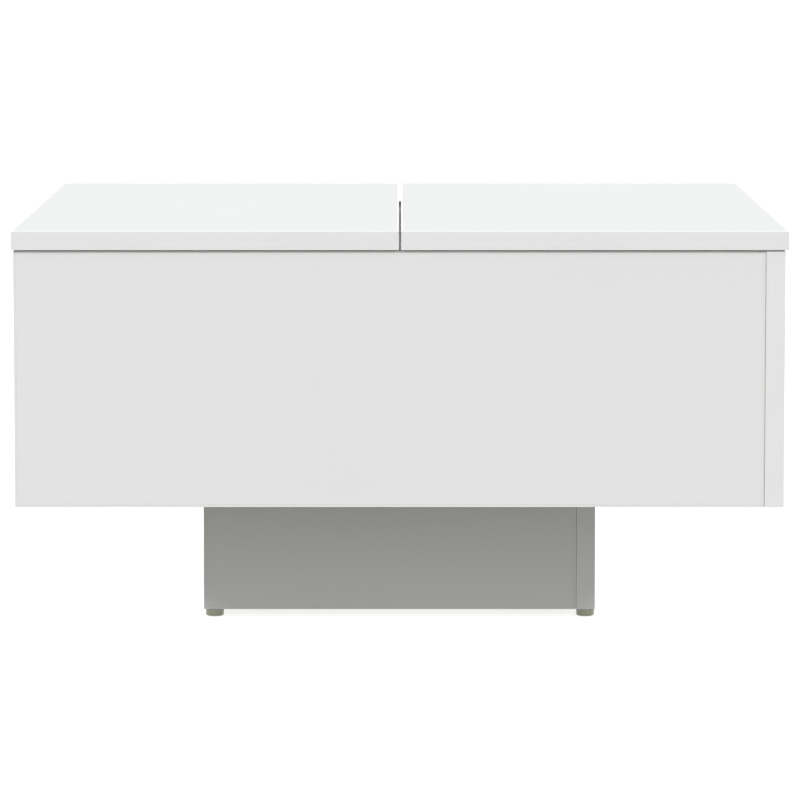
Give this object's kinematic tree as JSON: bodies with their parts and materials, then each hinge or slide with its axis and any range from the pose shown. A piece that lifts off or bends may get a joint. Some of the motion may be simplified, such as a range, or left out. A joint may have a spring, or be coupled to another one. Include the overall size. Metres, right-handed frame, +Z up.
{
  "type": "lift top coffee table",
  "caption": "Low square coffee table: a white box on a smaller plinth, its top split into two lids that lift on concealed hinges over the storage inside.",
  "frame": {"origin": "on the floor under the middle of the table, the centre of the bounding box's bottom", "axes": "+Z up, -Y is the front, +X is the right side; each lid's hinge axis runs along Y"},
  "size_m": [0.6, 0.6, 0.3217],
  "materials": {
    "white_board": "white melamine board, satin, with thin edge bands",
    "zinc": "die-cast zinc",
    "steel": "nickel-plated steel",
    "beech": "plain fluted beech",
    "glide_grey": "grey polished plastic",
    "soft_clear": "clear soft bumper"
  },
  "bodies": {
    "carcass": {"front_panel": "white_board", "bottom_dowel_front": "beech", "cam_front_lower": "zinc", "cam_bolt_front_lower": "zinc", "cam_front_upper": "zinc", "cam_bolt_front_upper": "zinc", "plinth_front": "white_board", "plinth_bracket_front": "steel", "right_panel": "white_board", "bottom_dowel_right": "beech", "cam_right_lower": "zinc", "cam_bolt_right_lower": "zinc", "cam_right_upper": "zinc", "cam_bolt_right_upper": "zinc", "plinth_right": "white_board", "plinth_bracket_right": "steel", "back_panel": "white_board", "bottom_dowel_back": "beech", "cam_back_lower": "zinc", "cam_bolt_back_lower": "zinc", "cam_back_upper": "zinc", "cam_bolt_back_upper": "zinc", "plinth_back": "white_board", "plinth_bracket_back": "steel", "left_panel": "white_board", "bottom_dowel_left": "beech", "cam_left_lower": "zinc", "cam_bolt_left_lower": "zinc", "cam_left_upper": "zinc", "cam_bolt_left_upper": "zinc", "plinth_left": "white_board", "plinth_bracket_left": "steel", "bottom_panel": "white_board", "centre_divider": "white_board", "glide_front_left": "glide_grey", "bumper_front_left": "soft_clear", "hinge_plate_left_front": "steel", "hinge_arm_left_front": "steel", "glide_back_left": "glide_grey", "bumper_back_left": "soft_clear", "hinge_plate_left_back": "steel", "hinge_arm_left_back": "steel", "glide_front_right": "glide_grey", "bumper_front_right": "soft_clear", "hinge_plate_right_front": "steel", "hinge_arm_right_front": "steel", "glide_back_right": "glide_grey", "bumper_back_right": "soft_clear", "hinge_plate_right_back": "steel", "hinge_arm_right_back": "steel"},
    "left_links": {"hinge_link_left_front": "steel", "hinge_link_left_back": "steel"},
    "right_links": {"hinge_link_right_front": "steel", "hinge_link_right_back": "steel"},
    "left_top": {"left_lid": "white_board", "hinge_cup_left_front": "steel", "hinge_cup_left_back": "steel"},
    "right_top": {"right_lid": "white_board", "hinge_cup_right_front": "steel", "hinge_cup_right_back": "steel"}
  },
  "joints": [
    {"name": "left_link_swing", "type": "hinge", "parent": "carcass", "child": "left_links", "pos_m": [-0.2695, 0, 0.312], "axis": [0, -1, 0], "range_deg": [-18.5, 0.5]},
    {"name": "left_lid_lift", "type": "hinge", "parent": "left_links", "child": "left_top", "pos_m": [-0.2915, 0, 0.313], "axis": [0, -1, 0], "range_deg": [0, 108]},
    {"name": "right_link_swing", "type": "hinge", "parent": "carcass", "child": "right_links", "pos_m": [0.2695, 0, 0.312], "axis": [0, 1, 0], "range_deg": [-18.5, 0.5]},
    {"name": "right_lid_lift", "type": "hinge", "parent": "right_links", "child": "right_top", "pos_m": [0.2915, 0, 0.313], "axis": [0, 1, 0], "range_deg": [0, 108]}
  ],
  "couplings": [
    {"joint": "left_link_swing", "follows": "left_lid_lift", "ratio": -0.16667},
    {"joint": "right_link_swing", "follows": "right_lid_lift", "ratio": -0.16667}
  ]
}
